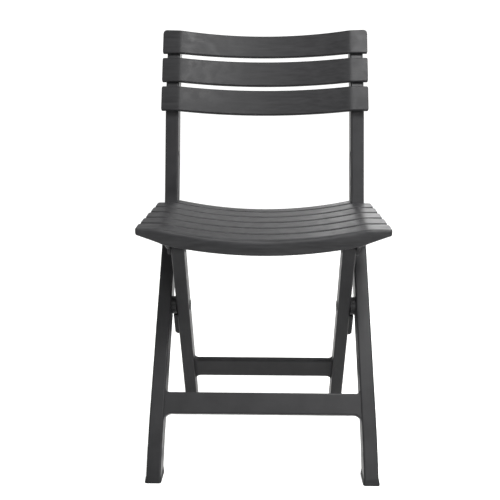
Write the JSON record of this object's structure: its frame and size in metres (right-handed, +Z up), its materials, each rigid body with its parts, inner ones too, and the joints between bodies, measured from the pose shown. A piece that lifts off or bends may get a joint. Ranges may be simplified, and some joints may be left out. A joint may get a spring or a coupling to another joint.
{
  "type": "folding chair",
  "caption": "Slatted plastic folding chair with crossed legs, a bowed slatted back and a dished slatted seat that slides up the frame as the legs fold.",
  "frame": {"origin": "on the floor, on the centre plane, midway between the front of the front feet and the back of the stiles", "axes": "+X across the chair, the chair faces -Y, +Z up"},
  "size_m": [0.44, 0.4398, 0.7892],
  "materials": {
    "frame_plastic": "satin moulded",
    "back_slat_plastic": "satin moulded with a fine grain",
    "seat_plastic": "satin moulded with a fine grain",
    "foot_plastic": "matt moulded",
    "pivot_plastic": "satin moulded"
  },
  "bodies": {
    "back_frame": {"side_member_left": "frame_plastic", "side_member_right": "frame_plastic", "front_crossbar": "frame_plastic", "back_slat_top": "back_slat_plastic", "back_slat_middle": "back_slat_plastic", "back_slat_bottom": "back_slat_plastic", "front_foot_left": "foot_plastic", "front_foot_right": "foot_plastic", "pivot_boss_left": "pivot_plastic", "pivot_boss_right": "pivot_plastic", "pivot_pin_left": "pivot_plastic", "pivot_pin_right": "pivot_plastic"},
    "rear_leg_frame": {"rear_leg_left": "frame_plastic", "rear_leg_right": "frame_plastic", "rear_crossbar": "frame_plastic", "rear_foot_left": "foot_plastic", "rear_foot_right": "foot_plastic", "stop_lug_left": "pivot_plastic", "stop_lug_right": "pivot_plastic", "seat_hinge_pin_left": "pivot_plastic", "seat_hinge_pin_right": "pivot_plastic"},
    "seat": {"seat_slat_1": "seat_plastic", "seat_slat_2": "seat_plastic", "seat_slat_3": "seat_plastic", "seat_slat_4": "seat_plastic", "seat_slat_5": "seat_plastic", "seat_slat_6": "seat_plastic", "seat_rail_left": "frame_plastic", "seat_rail_right": "frame_plastic", "seat_rib_left": "frame_plastic", "seat_rib_centre": "frame_plastic", "seat_rib_right": "frame_plastic", "slide_pin_left": "pivot_plastic", "slide_pin_right": "pivot_plastic"}
  },
  "joints": [
    {"name": "leg_fold", "type": "hinge", "parent": "back_frame", "child": "rear_leg_frame", "pos_m": [0, -0.01543, 0.266], "axis": [-1, 0, 0], "range_deg": [0, 54]},
    {"name": "seat_hinge", "type": "hinge", "parent": "rear_leg_frame", "child": "seat", "pos_m": [0, -0.08299, 0.39305], "axis": [-1, 0, 0], "range_deg": [-115.2, 0]}
  ],
  "couplings": [
    {"joint": "seat_hinge", "follows": "leg_fold", "ratio": -2.1296}
  ]
}
